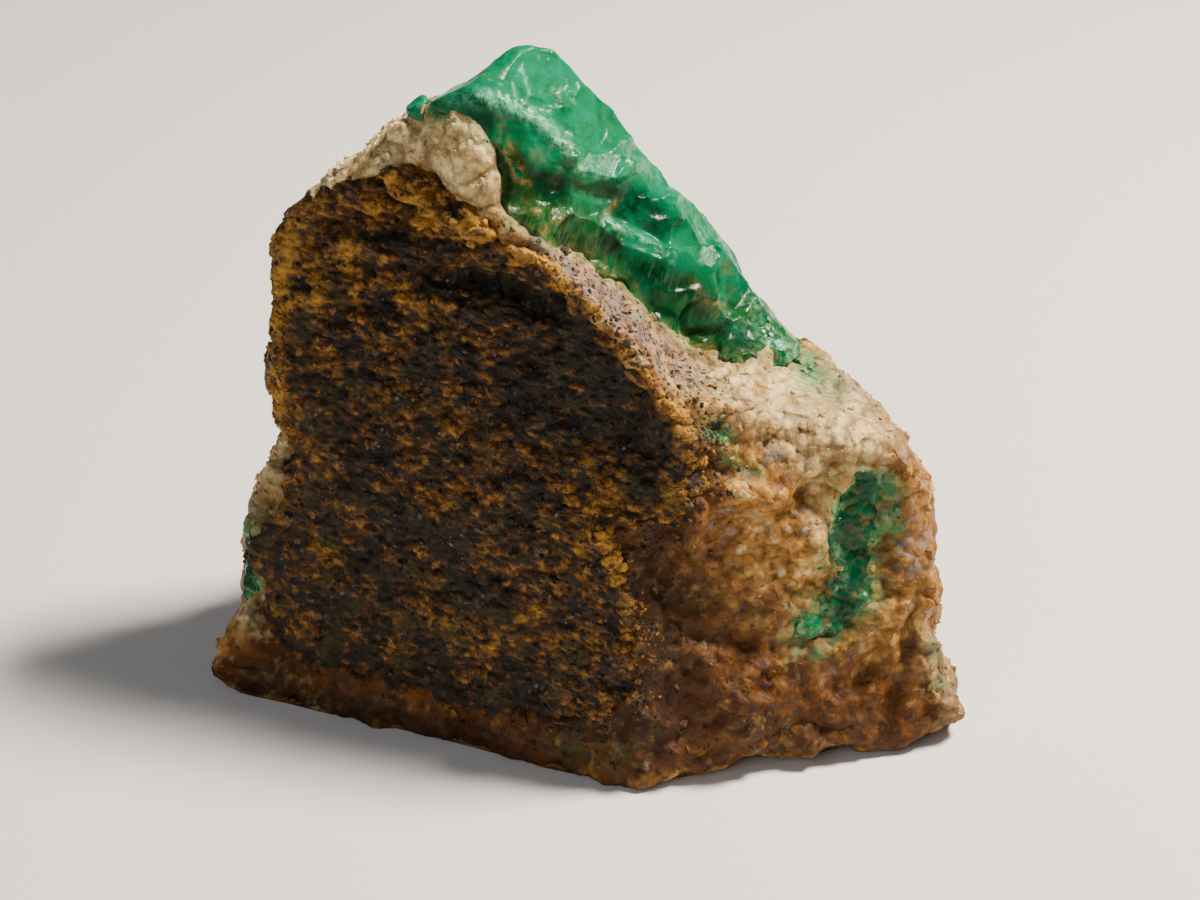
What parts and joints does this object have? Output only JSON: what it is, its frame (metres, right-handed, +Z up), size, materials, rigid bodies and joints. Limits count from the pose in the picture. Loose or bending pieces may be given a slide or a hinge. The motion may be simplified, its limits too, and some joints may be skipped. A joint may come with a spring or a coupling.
{
  "type": "emerald on matrix mineral specimen",
  "caption": "Hand-size piece of pale feldspar rock with rusty mica schist on its front and a large green emerald along its upper edge, for display on a shelf or table.",
  "frame": {"origin": "bottom centre of the bounding box, on the flat underside that the rock rests on", "axes": "+X to the viewer's right across the widest side, +Y away from the viewer through the shallow side, +Z up"},
  "size_m": [0.0614, 0.037, 0.0536],
  "materials": {
    "feldspar": "matte",
    "mica_schist": "satin",
    "emerald": "gloss"
  },
  "bodies": {
    "root": {"feldspar_matrix": "feldspar", "mica_schist": "mica_schist", "emerald_crystal": "emerald", "emerald_vein": "emerald", "emerald_left_grain": "emerald", "emerald_tip": "emerald"}
  },
  "joints": []
}
